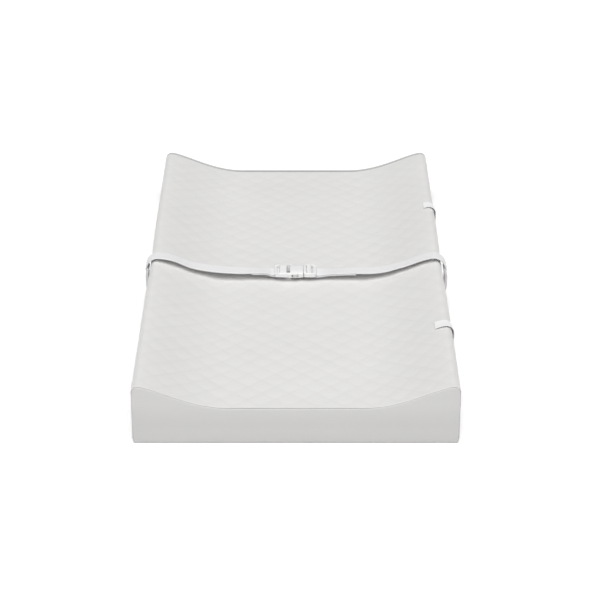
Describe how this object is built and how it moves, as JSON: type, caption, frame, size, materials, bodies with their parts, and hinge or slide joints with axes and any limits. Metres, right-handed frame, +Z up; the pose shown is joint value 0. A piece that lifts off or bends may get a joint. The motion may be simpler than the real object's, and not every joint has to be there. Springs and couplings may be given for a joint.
{
  "type": "changing pad",
  "caption": "Contoured foam changing pad with raised long rims, quilted vinyl cover and a buckled safety belt.",
  "frame": {"origin": "centre of the pad's underside, on the surface it rests on", "axes": "+Y along the pad to the head end, +X across to the right long rim, +Z up"},
  "size_m": [0.44, 0.813, 0.0882],
  "materials": {
    "foam": "matte open-cell foam",
    "wadding": "matte polyester wadding",
    "quilted_vinyl": "satin, quilted",
    "plain_vinyl": "satin, fine grain",
    "base_vinyl": "matte, non-slip dots",
    "webbing": "woven, slight sheen",
    "thread": "twisted thread",
    "buckle_plastic": "satin moulded",
    "label_satin": "smooth satin"
  },
  "bodies": {
    "pad": {"foam_core": "foam", "quilt_wadding": "wadding", "top_cover": "quilted_vinyl", "front_end_panel": "plain_vinyl", "rear_end_panel": "plain_vinyl", "bottom_panel": "base_vinyl", "left_belt": "webbing", "right_belt": "webbing", "left_belt_stitching": "thread", "right_belt_stitching": "thread", "socket_fold_stitching": "thread", "buckle_socket": "buckle_plastic", "front_label": "label_satin", "rear_label": "label_satin", "front_label_stitching": "thread", "rear_label_stitching": "thread"},
    "plug": {"buckle_plug": "buckle_plastic", "right_belt_tail": "webbing"},
    "front_prong_arm": {"front_prong": "buckle_plastic"},
    "rear_prong_arm": {"rear_prong": "buckle_plastic"}
  },
  "joints": [
    {"name": "buckle_release", "type": "slide", "parent": "pad", "child": "plug", "axis": [1, 0, 0], "range_m": [0, 0.035], "deforming": ["right_belt", "front_prong", "rear_prong"]},
    {"name": "front_prong_press", "type": "hinge", "parent": "plug", "child": "front_prong_arm", "pos_m": [0.0093, -0.0233, 0.0616], "axis": [0, 0, -1], "range_deg": [0, 12], "stiffness_Nm_per_rad": 0.02},
    {"name": "rear_prong_press", "type": "hinge", "parent": "plug", "child": "rear_prong_arm", "pos_m": [0.0093, -0.0017, 0.0616], "axis": [0, 0, 1], "range_deg": [0, 12], "stiffness_Nm_per_rad": 0.02}
  ]
}
